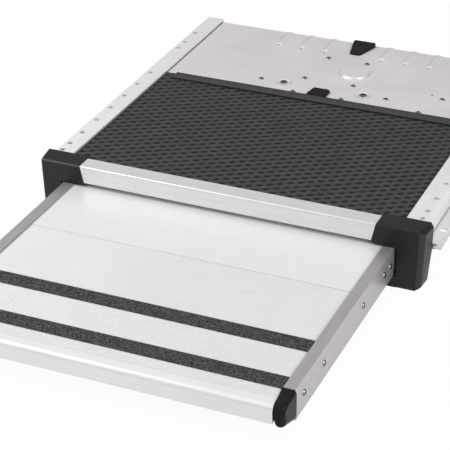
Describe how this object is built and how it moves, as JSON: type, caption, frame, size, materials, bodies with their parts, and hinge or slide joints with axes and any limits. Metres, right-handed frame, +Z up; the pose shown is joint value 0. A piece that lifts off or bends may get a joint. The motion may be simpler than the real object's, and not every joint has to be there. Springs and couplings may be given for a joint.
{
  "type": "slide-out entrance step",
  "caption": "Electric slide-out entrance step for a caravan or camper: a step with rails, ribbed deck and grit tapes runs out of a flat cassette with flanges for bolting under the floor.",
  "frame": {"origin": "the middle of the front cross profile's top face, which meets the vehicle's sill", "axes": "+X across the vehicle to the right as seen from outside, +Y in under the floor, +Z up; the step runs out along -Y and is stored out"},
  "size_m": [0.489, 0.7958, 0.0731],
  "materials": {
    "mill_aluminium": "satin",
    "black_moulding": "fine texture",
    "patterned_cover": "raised diamond pattern",
    "black_bead": "satin",
    "galvanised_sheet": "satin",
    "galvanised_steel": "satin",
    "gloss_black": "gloss",
    "zinc_fasteners": "bright",
    "nylon": "satin",
    "belt_rubber": "matte",
    "cast_alloy": "cast",
    "bronze": "satin",
    "black_motor": "semi-gloss",
    "brushed_rail": "brushed lengthways",
    "pale_deck": "powder-smooth",
    "grit_tape": "coarse grit",
    "shaft_steel": "ground"
  },
  "bodies": {
    "cassette": {"left_side_rail": "mill_aluminium", "right_side_rail": "mill_aluminium", "front_profile": "mill_aluminium", "left_corner_cap": "black_moulding", "right_corner_cap": "black_moulding", "front_cover": "patterned_cover", "cover_bead": "black_bead", "rear_cover": "galvanised_sheet", "front_edge_clip": "gloss_black", "rear_edge_clip": "gloss_black", "cover_cross_bar": "mill_aluminium", "cross_bar_screws": "zinc_fasteners", "cover_edge_screws": "galvanised_sheet", "plate_screws": "zinc_fasteners", "gearbox_screws": "zinc_fasteners", "pad_screws": "zinc_fasteners", "hold_down_pads": "nylon", "front_tie_bar": "galvanised_steel", "rear_tie_bar": "galvanised_steel", "tie_bar_screws": "zinc_fasteners", "left_front_glide": "nylon", "right_front_glide": "nylon", "rear_stops": "nylon", "flange_rivets": "zinc_fasteners", "idler_bracket": "galvanised_steel", "idler_axle": "shaft_steel", "drive_belt": "belt_rubber", "spacer_tubes": "cast_alloy", "gearbox_bracket": "galvanised_steel", "gearbox_housing": "cast_alloy", "gearbox_lid": "cast_alloy", "shaft_bushes": "bronze", "motor": "black_motor", "cable_gland": "black_moulding"},
    "step": {"left_step_rail": "brushed_rail", "right_step_rail": "brushed_rail", "front_plank": "pale_deck", "rear_plank": "pale_deck", "front_tape": "grit_tape", "rear_tape": "grit_tape", "left_end_cap": "gloss_black", "right_end_cap": "gloss_black", "left_rail_screws": "zinc_fasteners", "right_rail_screws": "zinc_fasteners", "left_rear_glide": "nylon", "right_rear_glide": "nylon", "belt_clamp": "galvanised_steel", "clamp_screws": "zinc_fasteners"},
    "drive_shaft": {"drive_pulley": "cast_alloy", "output_shaft": "shaft_steel"},
    "idler": {"idler_pulley": "cast_alloy"}
  },
  "joints": [
    {"name": "step_slide", "type": "slide", "parent": "cassette", "child": "step", "axis": [0, 1, 0], "range_m": [0, 0.29]},
    {"name": "drive_shaft_turn", "type": "hinge", "parent": "cassette", "child": "drive_shaft", "pos_m": [0.0211, 0.36336, -0.0399], "axis": [0, 0, 1], "range_deg": [-871, 0]},
    {"name": "idler_turn", "type": "hinge", "parent": "cassette", "child": "idler", "pos_m": [0.01473, 0.02773, -0.0175], "axis": [0, 0, 1], "range_deg": [-1306, 0]}
  ],
  "couplings": [
    {"joint": "drive_shaft_turn", "follows": "step_slide", "rad_per_m": -52.36},
    {"joint": "idler_turn", "follows": "step_slide", "rad_per_m": -78.54}
  ]
}
